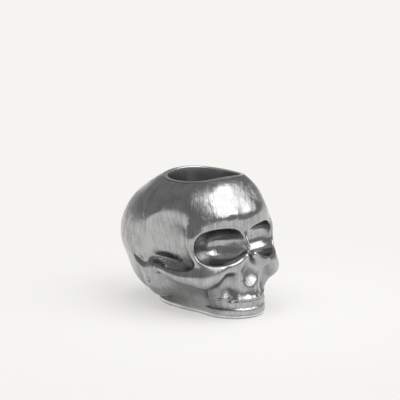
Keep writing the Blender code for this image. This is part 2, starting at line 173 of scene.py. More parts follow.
# The hollows of the temples, pressed into the same glass by bosses on the sides of the mould: on
# each side a wide dish, a slot over the cheek arch, a pit behind the eye and a hollow under the arch.
TEMPLE_CENTRE = (0.0460, -0.0060, 0.0430)
TEMPLE_RADII = (0.0180, 0.0180, 0.0180)
TEMPLE_BLEND = 0.010
ARCH_GAP_CENTRE = (0.0400, -0.0010, 0.0318)
ARCH_GAP_RADII = (0.0125, 0.0145, 0.0045)
ARCH_GAP_TILT = 8.0
ARCH_GAP_BLEND = 0.0055
PIT_CENTRE = (0.0380, -0.0088, 0.0405)
PIT_RADII = (0.0086, 0.0080, 0.0120)
PIT_BLEND = 0.008
UNDER_ARCH_CENTRE = (0.0430, -0.0035, 0.0145)
UNDER_ARCH_RADII = (0.0165, 0.0175, 0.0095)
UNDER_ARCH_BLEND = 0.006


def temple_hollows(p, d):
    """The wide dish, the slot over the cheek arch, the pit behind the eye and the hollow below."""
    d = smooth_cut(d, ball(p, TEMPLE_CENTRE, TEMPLE_RADII), TEMPLE_BLEND)
    slot = ball(p, ARCH_GAP_CENTRE, ARCH_GAP_RADII, (ARCH_GAP_TILT, 0.0, 0.0))
    d = smooth_cut(d, slot, ARCH_GAP_BLEND)
    d = smooth_cut(d, ball(p, PIT_CENTRE, PIT_RADII), PIT_BLEND)
    return smooth_cut(d, ball(p, UNDER_ARCH_CENTRE, UNDER_ARCH_RADII), UNDER_ARCH_BLEND)


# The brows, the rims of the eyes, the bridge of the nose and the cheek arches: bars of the same
# glass that stand proud of the core and run into it with a fillet. A station is x, y, z, radius.
BROW = (
    (0.0, -0.0230, 0.0580, 0.0050),
    (0.0100, -0.0222, 0.0598, 0.0054),
    (0.0188, -0.0186, 0.0582, 0.0046),
    (0.0250, -0.0165, 0.0540, 0.0038),
    (0.0288, -0.0168, 0.0492, 0.0030),
)
EYE_RIM = (
    (0.0286, -0.0170, 0.0512, 0.0030),
    (0.0303, -0.0168, 0.0460, 0.0030),
    (0.0300, -0.0195, 0.0395, 0.0028),
    (0.0270, -0.0245, 0.0340, 0.0028),
    (0.0200, -0.0285, 0.0320, 0.0030),
    (0.0120, -0.0320, 0.0345, 0.0030),
)
NOSE_BRIDGE = (
    (0.0, -0.0240, 0.0560, 0.0034),
    (0.0, -0.0272, 0.0505, 0.0018),
    (0.0, -0.0366, 0.0415, 0.0020),
)
CHEEK_ARCH = (
    (0.0140, -0.0310, 0.0290, 0.0048),
    (0.0240, -0.0275, 0.0272, 0.0059),
    (0.0305, -0.0215, 0.0262, 0.0053),
    (0.0350, -0.0145, 0.0260, 0.0041),
    (0.0370, -0.0060, 0.0268, 0.0029),
    (0.0374, 0.0040, 0.0280, 0.0022),
    (0.0362, 0.0140, 0.0278, 0.0019),
)
CHEEK_THINNING = (1.3, 1.1, 1.0)
BROW_BLEND = 0.008
RIM_BLEND = 0.005
BRIDGE_BLEND = 0.006
CHEEK_SPANS = 8


def face_bars(p, d):
    """Brows, eye rims, bridge of the nose and cheek arches."""
    d = smooth_union(d, bar(p, BROW), BROW_BLEND)
    d = smooth_union(d, bar(p, EYE_RIM), RIM_BLEND)
    d = smooth_union(d, bar(p, NOSE_BRIDGE), BRIDGE_BLEND)
    return smooth_union(d, bar(p, CHEEK_ARCH, CHEEK_THINNING, CHEEK_SPANS), RIM_BLEND)


# The upper jaw with its row of teeth. The teeth are pressed in the same glass, with a narrow
# groove between two of them, a scalloped gum line and a faint swelling over each root.
JAW_CENTRE_Y = -0.0200
JAW_HALF_WIDTH = 0.0193
JAW_HALF_LENGTH = 0.0203
JAW_TOP = 0.028
JAW_ROUNDING = 0.002
JAW_BLEND = 0.005
JAW_LEAN = 0.55
JAW_LEAN_HEIGHT = 0.0105
JAW_LEAN_REACH = 0.0095
PALATE_CENTRE = (0.0, -0.0170, 0.0250)
PALATE_RADII = (0.0185, 0.0200, 0.0190)
PALATE_SQUARE = 2.5
PALATE_BLEND = 0.003
GUM_HEIGHT = 0.0122
TEETH_FOOT = 0.0066
TEETH_COUNT = 14
TEETH_GROOVE = 0.0012
TEETH_ROUNDING = 0.0008
TEETH_FADE = 0.004
BITE_GROOVE = 0.0007
GUM_BEAD = 0.0006
GUM_BEAD_REACH = 0.0007
GUM_SCALLOP = 0.0003
ROOT_SWELLING = 0.00045
ROOT_HEIGHT = 0.0165
ROOT_REACH = 0.0034
SPINE_HEIGHT = 0.00045
SPINE_WIDTH = 0.0010
SPINE_LOW = 0.0135
SPINE_HIGH = 0.0262
SPINE_FADE = 0.002
CHEEK_BUTTRESS = (
    (0.0265, -0.0235, 0.0240, 0.0038),
    (0.0205, -0.0240, 0.0185, 0.0034),
    (0.0170, -0.0235, 0.0130, 0.0034),
)


def teeth(p, d):
    """Teeth, gum line, root swellings and the thin line that runs down from the nose."""
    x, y, z = p.T
    between = np.abs(np.cos(np.arctan2(x, JAW_CENTRE_Y - y) * TEETH_COUNT))
    across = np.arcsin(between) / (0.5 * math.pi)
    gum = GUM_HEIGHT - GUM_SCALLOP * across ** 2
    row = np.clip((gum - z) / TEETH_ROUNDING, 0.0, 1.0)
    row *= np.clip((z - TEETH_FOOT) / TEETH_ROUNDING, 0.0, 1.0)
    bead = np.exp(-((z - gum) / GUM_BEAD_REACH) ** 2)
    bite = np.exp(-((z - TEETH_FOOT) / GUM_BEAD_REACH) ** 2)
    root = np.exp(-((z - ROOT_HEIGHT) / ROOT_REACH) ** 2) * (1.0 - across)
    front = np.clip((JAW_CENTRE_Y - y) / TEETH_FADE + 1.0, 0.0, 1.0)
    line = np.exp(-(x / SPINE_WIDTH) ** 2) * np.clip((z - SPINE_LOW) / SPINE_FADE, 0.0, 1.0)
    line *= np.clip((SPINE_HIGH - z) / SPINE_FADE, 0.0, 1.0)
    proud = GUM_BEAD * bead + ROOT_SWELLING * root + SPINE_HEIGHT * line
    return d + front * (TEETH_GROOVE * across ** 3 * row + BITE_GROOVE * bite - proud)


def upper_jaw(p, d):
    """The leaning arch of the teeth, the palate behind it and the buttresses up to the cheeks."""
    x, y, z = p.T
    half = 0.5 * JAW_TOP
    above = np.maximum(z - JAW_LEAN_HEIGHT, 0.0) / JAW_LEAN_REACH
    leaned = y - JAW_LEAN * JAW_LEAN_REACH * np.tanh(above)
    arch = oval(x, leaned, JAW_CENTRE_Y, JAW_HALF_WIDTH, JAW_HALF_LENGTH)
    arch = teeth(p, slab(arch, z - half, half, JAW_ROUNDING))
    palate = ball(p, PALATE_CENTRE, PALATE_RADII, square=PALATE_SQUARE)
    arch = smooth_union(palate, arch, PALATE_BLEND)
    d = smooth_union(d, arch, JAW_BLEND)
    return smooth_union(d, bar(p, CHEEK_BUTTRESS), RIM_BLEND)


# The eye sockets, the opening of the nose and the hollows beside the canine teeth. Plungers on the
# face half of the mould press them into the glass. A bar frames each side of the nose.
SOCKET_CENTRE = (0.0169, -0.0310, 0.0447)
SOCKET_RADII = (0.0148, 0.0168, 0.0106)
SOCKET_TIP = -11.0
SOCKET_SLANT = -8.0
SOCKET_TURN = -18.0
SOCKET_SQUARE = 2.7
SOCKET_BLEND = 0.0016
NOSE_LOW_CENTRE = (0.0, -0.0420, 0.0285)
NOSE_LOW_RADII = (0.0086, 0.0084, 0.0092)
NOSE_HIGH_CENTRE = (0.0, -0.0392, 0.0340)
NOSE_HIGH_RADII = (0.0056, 0.0066, 0.0094)
NOSE_LOW_SQUARE = 2.3
NOSE_JOIN = 0.003
NOSE_BLEND = 0.0024
CANINE_CENTRE = (0.0148, -0.0368, 0.0203)
CANINE_RADII = (0.0058, 0.0080, 0.0088)
CANINE_BLEND = 0.003
NOSE_SIDE = (
    (0.0125, -0.0320, 0.0322, 0.0028),
    (0.0078, -0.0338, 0.0340, 0.0030),
    (0.0034, -0.0360, 0.0376, 0.0022),
)
NOSE_SIDE_BLEND = 0.004


def openings(p, d, sunk):
    """Nose, canine hollows and the sockets, which are pulled forward unless fully sunk."""
    nose = ball(p, NOSE_LOW_CENTRE, NOSE_LOW_RADII, square=NOSE_LOW_SQUARE)
    nose = smooth_union(nose, ball(p, NOSE_HIGH_CENTRE, NOSE_HIGH_RADII), NOSE_JOIN)
    d = smooth_cut(d, nose, NOSE_BLEND)
    d = smooth_cut(d, ball(p, CANINE_CENTRE, CANINE_RADII), CANINE_BLEND)
    centre = np.array(SOCKET_CENTRE) - (0.0, (1.0 - sunk) * 2.0 * SOCKET_RADII[1], 0.0)
    socket = ball(p, centre, SOCKET_RADII, (SOCKET_TIP, SOCKET_SLANT, SOCKET_TURN), SOCKET_SQUARE)
    d = smooth_cut(d, socket, SOCKET_BLEND)
    return smooth_union(d, bar(p, NOSE_SIDE), NOSE_SIDE_BLEND)


# The ear region: the knob behind the jaw, the crest that carries the cheek arch backwards and the
# small pit of the ear, all pressed in the same glass.
EAR_CREST = (
    (0.0362, 0.0080, 0.0280, 0.0016),
    (0.0372, 0.0150, 0.0262, 0.0014),
    (0.0374, 0.0220, 0.0265, 0.0012),
    (0.0370, 0.0300, 0.0310, 0.0010),
    (0.0355, 0.0370, 0.0400, 0.0004),
)
MASTOID_CENTRE = (0.0290, 0.0145, 0.0200)
MASTOID_RADII = (0.0090, 0.0098, 0.0122)
MASTOID_TILT = -25.0
MASTOID_BLEND = 0.005
CREST_BLEND = 0.003
EAR_PIT_CENTRE = (0.0378, 0.0150, 0.0190)
EAR_PIT_RADII = (0.0018, 0.0011, 0.0012)
EAR_PIT_BLEND = 0.0015


def ear_region(p, d):
    """The knob behind the jaw with the pit of the ear, and the crest behind the cheek arch."""
    knob = ball(p, MASTOID_CENTRE, MASTOID_RADII, (MASTOID_TILT, 0.0, 0.0))
    d = smooth_union(d, knob, MASTOID_BLEND)
    d = smooth_cut(d, ball(p, EAR_PIT_CENTRE, EAR_PIT_RADII), EAR_PIT_BLEND)
    return smooth_union(d, bar(p, EAR_CREST), CREST_BLEND)


# The rounded band under the teeth and the flat foot that the holder stands on. The foot is ground
# flat after the pressing and its lower edge is polished to a small bevel.
SKIRT_CENTRE_Y = 0.0040
SKIRT_HALF_WIDTH = 0.0215
SKIRT_HALF_LENGTH = 0.0300
SKIRT_HEIGHT = 0.0120
SKIRT_ROUNDING = 0.0040
SKIRT_BLEND = 0.006
BAND_CENTRE_Y = -0.0195
BAND_HALF_WIDTH = 0.0189
BAND_HALF_LENGTH = 0.0206
BAND_HEIGHT = 0.0072
BAND_ROUNDING = 0.0036
BAND_DEPTH = 0.0084
BAND_BLEND = 0.002
FOOT_FRONT_HALF_WIDTH = 0.0186
FOOT_FRONT_HALF_LENGTH = 0.0191
FOOT_BACK_CENTRE_Y = 0.0120
FOOT_BACK_HALF_WIDTH = 0.0222
FOOT_BACK_HALF_LENGTH = 0.0265
FOOT_BACK_SQUARE = 2.3
FOOT_WAIST = 0.006
FOOT_HEIGHT = 0.0034
FOOT_ROUNDING = 0.0004
FOOT_BLEND = 0.0015


def band_and_foot(p, d):
    """The skirt under the skull, the rounded band under the teeth and the foot."""
    x, y, z = p.T
    skirt = oval(x, y, SKIRT_CENTRE_Y, SKIRT_HALF_WIDTH, SKIRT_HALF_LENGTH)
    d = smooth_union(d, slab(skirt, z, SKIRT_HEIGHT, SKIRT_ROUNDING), SKIRT_BLEND)
    band = oval(x, y, BAND_CENTRE_Y, BAND_HALF_WIDTH, BAND_HALF_LENGTH)
    half = 0.5 * BAND_DEPTH
    d = smooth_union(d, slab(band, z - BAND_HEIGHT + half, half, BAND_ROUNDING), BAND_BLEND)
    front = oval(x, y, BAND_CENTRE_Y, FOOT_FRONT_HALF_WIDTH, FOOT_FRONT_HALF_LENGTH)
    back = (FOOT_BACK_CENTRE_Y, FOOT_BACK_HALF_WIDTH, FOOT_BACK_HALF_LENGTH, FOOT_BACK_SQUARE)
    foot = smooth_union(front, oval(x, y, *back), FOOT_WAIST)
    return smooth_union(d, slab(foot, z, FOOT_HEIGHT, FOOT_ROUNDING), FOOT_BLEND)


# The outer wall of the glass as one sheet of points, from the foot's top edge up to the candle
# mouth. Rays find the form as coarse rows and columns, then a finer sheet settles onto it.
COARSE_COLUMNS = 176
COARSE_ROWS = 84
COLUMNS = 396
WALL_ROWS = 188
FACE_CROWDING = 0.40
CAST_STEPS = 30
CAST_CAUTION = 0.8
CAST_BACK = 0.001
CAST_STRIDE = 0.010
LEAN_STEP = 0.00001
GENTLEST_LEAN = 0.1
LONGEST_MOVE = 0.002
RING_INSIDE = 0.010
RING_OUTSIDE = 0.050
HALVINGS = 40
FAN_TOP_ANGLE = 56.0
FAN_CROWDING = 1.6
FAN_RISE = 0.046
FAR_OUTSIDE = 0.075
EASING_ROUNDS = 30
SINKING_SHARE = 0.6
FINE_ROUNDS = 5
MOUTH_HEIGHT = 0.0830
MOUTH_DIP = 0.0020
MOUTH_DIP_REACH = 0.023
MOUTH_CENTRE_Y = 0.0075
LIP_ROUNDING = 0.0006


def skin(points, sunk=1.0):
    """Distance to the outer form, before the mouth and the underside are cut flat."""
    p = points.copy()
    p[:, 0] = np.abs(p[:, 0])
    d = temple_hollows(p, brain_case(p))
    d = upper_jaw(p, face_bars(p, d))
    d = ear_region(p, openings(p, d, sunk))
    return band_and_foot(p, d)


def settle(points, rounds, sunk=1.0):
    """Move points along the steepest way onto the skin."""
    for _ in range(rounds):
        distance = skin(points, sunk)
        ahead = [skin(points + np.eye(3)[axis] * LEAN_STEP, sunk) for axis in range(3)]
        lean = (np.stack(ahead, 1) - distance[:, None]) / LEAN_STEP
        move = distance / np.maximum((lean * lean).sum(1), GENTLEST_LEAN)
        points = points - np.clip(move, -LONGEST_MOVE, LONGEST_MOVE)[:, None] * lean
    return points


def cast(start, direction, far):
    """Outermost crossing of the skin without its sockets along rays, walked inwards from far."""
    reach = np.full(len(start), far)
    for _ in range(CAST_STEPS):
        away = skin(start + direction * reach[:, None], 0.0)
        reach -= np.clip(CAST_CAUTION * away, -CAST_BACK, CAST_STRIDE)
    return start + direction * reach[:, None]


def mouth_height(x):
    """Height of the lip, which dips to both sides."""
    return MOUTH_HEIGHT - MOUTH_DIP * (x / MOUTH_DIP_REACH) ** 2


def column_angles(columns):
    """Angles of the columns round the axis, closer together on the face."""
    turn = np.arange(columns) * 2.0 * math.pi / columns
    return turn - FACE_CROWDING * np.cos(turn)


def level_ring(angles, height, below_lip=0.0):
    """Where the skin is at one height, or near the lip where height is None."""
    flat = np.stack([np.cos(angles), np.sin(angles), 0.0 * angles], 1)
    centre_y = MOUTH_CENTRE_Y if height is None else 0.0
    inside = np.full(len(angles), RING_INSIDE)
    outside = np.full(len(angles), RING_OUTSIDE)
    for _ in range(HALVINGS):
        middle = 0.5 * (inside + outside)
        ring = flat * middle[:, None] + (0.0, centre_y, 0.0)
        ring[:, 2] = mouth_height(ring[:, 0]) - below_lip if height is None else height
        solid = skin(ring) < 0.0
        inside = np.where(solid, middle, inside)
        outside = np.where(solid, outside, middle)
    return ring


def ease(wall, rounds, sink_rounds):
    """Spread the inner rows evenly over the skin while the sockets sink in."""
    for turn in range(rounds):
        sunk = min(1.0, turn / sink_rounds) if sink_rounds else 1.0
        beside = np.roll(wall, 1, 1) + np.roll(wall, -1, 1)
        middle = 0.25 * (beside[1:-1] + wall[:-2] + wall[2:])
        eased = 0.5 * (wall[1:-1] + middle)
        wall[1:-1] = settle(eased.reshape(-1, 3), 1, sunk).reshape(eased.shape)
    wall[1:-1] = settle(wall[1:-1].reshape(-1, 3), 2).reshape(wall[1:-1].shape)
    return wall


def finer(wall, rows, columns):
    """The same sheet with more rows and columns."""
    place = np.linspace(0.0, len(wall) - 1.0, rows)
    before = np.minimum(place.astype(int), len(wall) - 2)
    share = (place - before)[:, None, None]
    wall = wall[before] * (1.0 - share) + wall[before + 1] * share
    place = np.arange(columns) * wall.shape[1] / columns
    before = place.astype(int)
    share = (place - before)[None, :, None]
    return wall[:, before] * (1.0 - share) + wall[:, (before + 1) % wall.shape[1]] * share


angles = column_angles(COARSE_COLUMNS)
step, angle = np.meshgrid(np.linspace(0.0, 1.0, COARSE_ROWS + 2)[1:-1], angles, indexing="ij")
step = step.ravel()
angle = angle.ravel()
lift = math.radians(FAN_TOP_ANGLE) * step ** FAN_CROWDING
heart = np.stack([0.0 * step, MOUTH_CENTRE_Y * step, FOOT_HEIGHT + FAN_RISE * step], 1)
level = np.cos(lift)
direction = np.stack([np.cos(angle) * level, np.sin(angle) * level, np.sin(lift)], 1)
coarse = cast(heart, direction, FAR_OUTSIDE).reshape(COARSE_ROWS, COARSE_COLUMNS, 3)
foot_top = level_ring(angles, FOOT_HEIGHT - FOOT_ROUNDING)
lip_edge = level_ring(angles, None)
wall = np.concatenate([foot_top[None], coarse, lip_edge[None]])
wall = ease(wall, EASING_ROUNDS, SINKING_SHARE * EASING_ROUNDS)

angles = column_angles(COLUMNS)
foot_top = level_ring(angles, FOOT_HEIGHT - FOOT_ROUNDING)
lip_corner = level_ring(angles, None)
lip_low = level_ring(angles, None, LIP_ROUNDING)
wall = finer(wall, WALL_ROWS, COLUMNS)
wall[0] = foot_top
wall[-1] = lip_low
wall = ease(wall, FINE_ROUNDS, 0)


# Chill wrinkles. The glass skins over where it first touches the cold iron, so the surface keeps
# a slow swell all over and patches of crumpled ripples, a few hundredths of a millimetre deep.
# A crumpled place is x, y, z, its reach, and how much it is creased there, which sets the folds of
# the bump and the painted shade and highlight along the creases.
SWELL_LENGTH = 0.016
SWELL_DEPTH = 0.00006
SWELL_WAVES = 18
WAVE_SHORTEST = 0.7
WAVE_LONGEST = 1.5
WAVE_START = 6.3
WRINKLE_LENGTH = 0.0036
WRINKLE_DEPTH = 0.000026
PATCH_LENGTH = 0.020
PATCH_SHARE = 0.6
CRUMPLED_PLACES = (
    (0.0340, 0.0400, 0.0570, 0.016, 1.0),
    (0.0380, 0.0330, 0.0430, 0.010, 0.7),
    (0.0340, 0.0080, 0.0300, 0.007, 1.0),
    (0.0285, 0.0000, 0.0320, 0.007, 1.0),
    (0.0290, -0.0080, 0.0390, 0.007, 0.9),
    (0.0100, -0.0240, 0.0710, 0.012, 0.15),
    (0.0080, -0.0365, 0.0165, 0.007, 0.5),
    (0.0370, 0.0110, 0.0180, 0.008, 0.5),
)
STREAK_LENGTH = 0.0026
STREAK_DEPTH = 0.000005
STREAK_STRETCH = (1.0, 1.0, 0.12)
FADE_ROWS = 8.0


def swell(points, length, seed, stretch=(1.0, 1.0, 1.0)):
    """A smooth random height, made of waves of about one length in all directions."""
    chance = np.random.default_rng(seed)
    height = np.zeros(len(points))
    for _ in range(SWELL_WAVES):
        way = chance.normal(size=3)
        way /= np.linalg.norm(way)
        wave = length * chance.uniform(WAVE_SHORTEST, WAVE_LONGEST)
        start = chance.uniform(0.0, WAVE_START)
        height += np.cos(points @ (way * stretch) * 2.0 * math.pi / wave + start)
    return height / math.sqrt(0.5 * SWELL_WAVES)


def normals_of(sheet):
    """Outward normals of a sheet of rows and columns."""
    across = np.roll(sheet, -1, 1) - np.roll(sheet, 1, 1)
    up = np.gradient(sheet, axis=0)
    normal = np.cross(across, up)
    return normal / np.linalg.norm(normal, axis=2)[:, :, None]


def crumpled(points):
    """How much the skin is crumpled, and how much it is creased, which sets bump and painted crease
    shade.
    """
    folded = points.copy()
    folded[:, 0] = np.abs(folded[:, 0])
    share = np.zeros(len(points))
    creased = np.zeros(len(points))
    for x, y, z, reach, crease in CRUMPLED_PLACES:
        here = np.exp(-(np.linalg.norm(folded - (x, y, z), axis=1) / reach) ** 2)
        share = np.maximum(share, here)
        creased = np.maximum(creased, here * crease)
    return share, creased


flat_wall = wall.reshape(-1, 3)
patches = np.clip(swell(flat_wall, PATCH_LENGTH, seed=3), 0.0, 1.0) * PATCH_SHARE
patches = np.maximum(patches, crumpled(flat_wall)[0])
relief = SWELL_DEPTH * swell(flat_wall, SWELL_LENGTH, seed=1)
relief += WRINKLE_DEPTH * patches * swell(flat_wall, WRINKLE_LENGTH, seed=2)
relief += STREAK_DEPTH * swell(flat_wall, STREAK_LENGTH, seed=4, stretch=STREAK_STRETCH)
row = np.arange(WALL_ROWS)
fade = np.clip(np.minimum(row, WALL_ROWS - 1 - row) / FADE_ROWS, 0.0, 1.0)[:, None]
proud = (relief.reshape(WALL_ROWS, COLUMNS) * fade - SWELL_DEPTH) * fade
wall = wall + normals_of(wall) * proud[:, :, None]


# The foot's underside and bevel, the polished lip and the candle well, as further rows of the same
# sheet of glass. Each edge is rounded, since the film would flake off a sharp one. A fine bead of
# glass runs round the foot's side, where the mould stands on its base plate.
FOOT_BEVEL = 0.0005
EDGE_ROUNDING = 0.00012
LIP_WIDTH = 0.0023
WELL_FLOOR_HEIGHT = 0.036
WELL_FLOOR_RADIUS = 0.0205
WELL_CORNER = 0.0025
UNDERSIDE_ROWS = 5
EDGE_ROWS = 3
LIP_ROWS = 3
WELL_ROWS = 14
CORNER_ROWS = 5
FLOOR_ROWS = 8
BEAD_LOW = 0.0011
BEAD_HIGH = 0.0023
BEAD_PROUD = 0.00022
BEAD_ROWS = 5


def unit(arrows):
    """The same arrows, each one long."""
    return arrows / np.linalg.norm(arrows, axis=1)[:, None]


def rounded(before, corner, after):
    """Rows of a rounded edge between two rings, with the corner as its guide."""
    rows = []
    for k in range(EDGE_ROWS + 2):
        t = k / (EDGE_ROWS + 1.0)
        rows.append(before * (1.0 - t) ** 2 + corner * 2.0 * t * (1.0 - t) + after * t ** 2)
    return rows


bevel_top = level_ring(angles, FOOT_BEVEL)
bevel_top_high = level_ring(angles, FOOT_BEVEL + EDGE_ROUNDING)
outward = unit(bevel_top * (1.0, 1.0, 0.0))
underside_edge = (bevel_top - FOOT_BEVEL * outward) * (1.0, 1.0, 0.0)
slope = unit(bevel_top - underside_edge) * EDGE_ROUNDING
lower_edge = rounded(underside_edge - outward * EDGE_ROUNDING, underside_edge, underside_edge + slope)
upper_edge = rounded(bevel_top - slope, bevel_top, bevel_top_high)
underside = [lower_edge[0] * (k / UNDERSIDE_ROWS) for k in range(1, UNDERSIDE_ROWS)]
bead = []
for k in range(BEAD_ROWS + 1):
    t = k / BEAD_ROWS
    ring = level_ring(angles, BEAD_LOW + (BEAD_HIGH - BEAD_LOW) * t)
    bead.append(ring + outward * BEAD_PROUD * math.sin(math.pi * t))

centre = np.array((0.0, MOUTH_CENTRE_Y, 0.0))
inward = unit((centre - lip_corner) * (1.0, 1.0, 0.0))
outer_lip = rounded(lip_low, lip_corner, lip_corner + inward * LIP_ROUNDING)
inner_corner = lip_corner + inward * LIP_WIDTH
floor_edge = centre - inward * WELL_FLOOR_RADIUS + (0.0, 0.0, WELL_FLOOR_HEIGHT)
corner_top = floor_edge + (0.0, 0.0, WELL_CORNER)
down = unit(corner_top - inner_corner) * LIP_ROUNDING
inner_lip = rounded(inner_corner - inward * LIP_ROUNDING, inner_corner, inner_corner + down)
across_lip = inner_lip[0] - outer_lip[-1]
lip_land = [outer_lip[-1] + across_lip * k / LIP_ROWS for k in range(1, LIP_ROWS)]
down_well = corner_top - inner_lip[-1]
well_wall = [inner_lip[-1] + down_well * k / WELL_ROWS for k in range(1, WELL_ROWS + 1)]
well_corner = []
for k in range(1, CORNER_ROWS + 1):
    turn = 0.5 * math.pi * k / CORNER_ROWS
    inset = inward * WELL_CORNER * (1.0 - math.cos(turn))
    rise = (0.0, 0.0, WELL_CORNER * (1.0 - math.sin(turn)))
    well_corner.append(floor_edge + inset + rise)
floor_middle = centre + (0.0, 0.0, WELL_FLOOR_HEIGHT)
spoke = inward * (WELL_FLOOR_RADIUS - WELL_CORNER)
well_floor = [floor_middle - spoke * k / FLOOR_ROWS for k in range(FLOOR_ROWS - 1, 0, -1)]
foot_rows = lower_edge + upper_edge + bead
lip_rows = outer_lip[1:] + lip_land + inner_lip
well_rows = well_wall + well_corner + well_floor
rows = underside + foot_rows + list(wall) + lip_rows + well_rows


# The silver mirror film. It is put on the finished glass with a spray gun, outside and in the well.
# It lies in fine streaks along the way the glass flowed and it crumples in patches. Its colour
# carries painted shade in the hollows and on the low and downward sides, a painted darker reflection
# high on the back of the vault, and painted shade and highlight along the creases. Heights are in
# millimetres.
PROBE = 0.010
LOW_SIDE = 0.026
LOW_FADE = 0.012
LOW_FRONT = -0.040
LOW_SHARE = 0.45
DOWN_SHARE = 0.4
FRONT_SHARE = 0.75
# A painted darker reflection high on the back of the vault, the same on both sides.
DARK_REFLECTION_PLACE = (0.0350, 0.0420, 0.0580)
DARK_REFLECTION_REACH = (0.0180, 0.0220, 0.0120)
DARK_REFLECTION_SHARE = 0.75
FLOW_ROUND = 60.0
FLOW_LENGTH = 9.0
STREAK_NOISE = (1.0, 3.0, 0.4)
RIPPLE_STRETCH = (0.80, 0.80, 3.0)
RIPPLE_NOISE = (1.0, 4.0, 2.6)
CRUMPLE_STRETCH = (0.50, 0.50, 5.0)
CRUMPLE_NOISE = (1.0, 4.0, 2.4)
PATCH_NOISE = (55.0, 3.0, 0.0)
CLOUD_NOISE = (120.0, 5.0, 0.0)
PATCH_RANGE = (0.46, 0.58)
DULL_RANGE = (0.42, 0.60)
DEEP_RANGE = (0.15, 1.10)
CREASE_RANGE = (0.50, 0.57)
FOLDED_SHARE = 2.0
COOL_TINT = 1.012
MILLIMETRE = 0.001


def flow_of(first_row, count):
    """A place on the sheet that runs with the glass: round the axis, then up the rows."""
    turn = 2.0 * math.pi * np.arange(COLUMNS) / COLUMNS
    up = FLOW_LENGTH * (np.arange(count) + first_row) / WALL_ROWS
    round_axis = FLOW_ROUND * np.stack([np.cos(turn), np.sin(turn), 0.0 * turn], 1)
    return round_axis[None] + up[:, None, None] * np.array((0.0, 0.0, 1.0))


def painted_shade_and_reflection(sheet):
    """Painted shade from 0 to 1: in hollows, on the low sides behind the jaw and on sides facing
    down, with a painted darker reflection on the vault.
    """
    outward = normals_of(sheet)
    # Painted shade in hollows, where the skin lies close to a point a short way out along the normal.
    probe = (sheet + outward * PROBE).reshape(-1, 3)
    hollow = np.clip(1.0 - skin(probe) / PROBE, 0.0, 1.0).reshape(sheet.shape[:2])
    # Painted shade on the low sides behind the jaw and on sides that face down.
    low = np.clip((LOW_SIDE - sheet[:, :, 2]) / LOW_FADE, 0.0, 1.0) * LOW_SHARE
    behind = np.clip((sheet[:, :, 1] - LOW_FRONT) / LOW_FADE, 0.0, 1.0)
    facing_down = np.clip(-outward[:, :, 2], 0.0, 1.0) * DOWN_SHARE
    # Hollows that face forward keep less of their painted shade.
    shade_kept = 1.0 - FRONT_SHARE * np.clip(-outward[:, :, 1], 0.0, 1.0)
    place = sheet.reshape(-1, 3).copy()
    place[:, 0] = np.abs(place[:, 0])
    # The painted darker reflection high on the back of the vault.
    away = np.linalg.norm((place - DARK_REFLECTION_PLACE) / DARK_REFLECTION_REACH, axis=1).reshape(sheet.shape[:2])
    dark_reflection = DARK_REFLECTION_SHARE * np.exp(-away ** 2)
    return np.clip(hollow * shade_kept + low * behind + facing_down + dark_reflection, 0.0, 1.0)


film = bpy.data.node_groups.new("film_surface", "ShaderNodeTree")
for name, kind, start in (
    ("Place", "NodeSocketVector", None),
    ("Flow", "NodeSocketVector", None),
    ("Hollow", "NodeSocketFloat", 0.0),
    ("Creased", "NodeSocketFloat", 0.0),
    ("Clear Colour", "NodeSocketColor", (0.5, 0.5, 0.5, 1.0)),
    ("Dull Colour", "NodeSocketColor", (0.4, 0.4, 0.4, 1.0)),
    ("Painted Shade Colour", "NodeSocketColor", (0.1, 0.1, 0.1, 1.0)),
    ("Clear Roughness", "NodeSocketFloat", 0.16),
    ("Dull Roughness", "NodeSocketFloat", 0.30),
    ("Streak Height", "NodeSocketFloat", 0.05),
    ("Crumple Height", "NodeSocketFloat", 0.10),
    ("Crease Tone", "NodeSocketFloat", 0.5),
):
    socket = film.interface.new_socket(name, in_out="INPUT", socket_type=kind)
    if start is not None:
        socket.default_value = start
film.interface.new_socket("Colour", in_out="OUTPUT", socket_type="NodeSocketColor")
film.interface.new_socket("Roughness", in_out="OUTPUT", socket_type="NodeSocketFloat")
film.interface.new_socket("Height", in_out="OUTPUT", socket_type="NodeSocketFloat")
given = film.nodes.new("NodeGroupInput")
result = film.nodes.new("NodeGroupOutput")


def film_noise(source, scale, detail, distortion):
    """A noise inside the film group."""
    noise = film.nodes.new("ShaderNodeTexNoise")
    noise.inputs["Scale"].default_value = scale
    noise.inputs["Detail"].default_value = detail
    noise.inputs["Distortion"].default_value = distortion
    film.links.new(source, noise.inputs["Vector"])
    return noise.outputs["Fac"]


def film_stretch(source, stretch):
    """A vector of the film group, made longer or shorter along each axis."""
    node = film.nodes.new("ShaderNodeVectorMath")
    node.operation = "MULTIPLY"
    node.inputs[1].default_value = stretch
    film.links.new(source, node.inputs[0])
    return node.outputs["Vector"]


def film_range(value, low, high):
    """The share of the way from low to high, kept between 0 and 1."""
    share = film.nodes.new("ShaderNodeMapRange")
    share.interpolation_type = "SMOOTHSTEP"
    share.inputs["From Min"].default_value = low
    share.inputs["From Max"].default_value = high
    film.links.new(value, share.inputs["Value"])
    return share.outputs["Result"]


def film_math(kind, a, b):
    """One sum on two values or sockets."""
    node = film.nodes.new("ShaderNodeMath")
    node.operation = kind
    for socket, value in zip(node.inputs, (a, b)):
        if isinstance(value, float):
            socket.default_value = value
        else:
            film.links.new(value, socket)
    return node.outputs["Value"]


def film_mix(kind, share, a, b):
    """Between two sockets by a share; the mix node numbers its sockets by kind."""
    node = film.nodes.new("ShaderNodeMix")
    node.data_type = kind
    slots = (6, 7, 2) if kind == "RGBA" else (2, 3, 0)
    film.links.new(share, node.inputs["Factor"])
    film.links.new(a, node.inputs[slots[0]])
    film.links.new(b, node.inputs[slots[1]])
    return node.outputs[slots[2]]


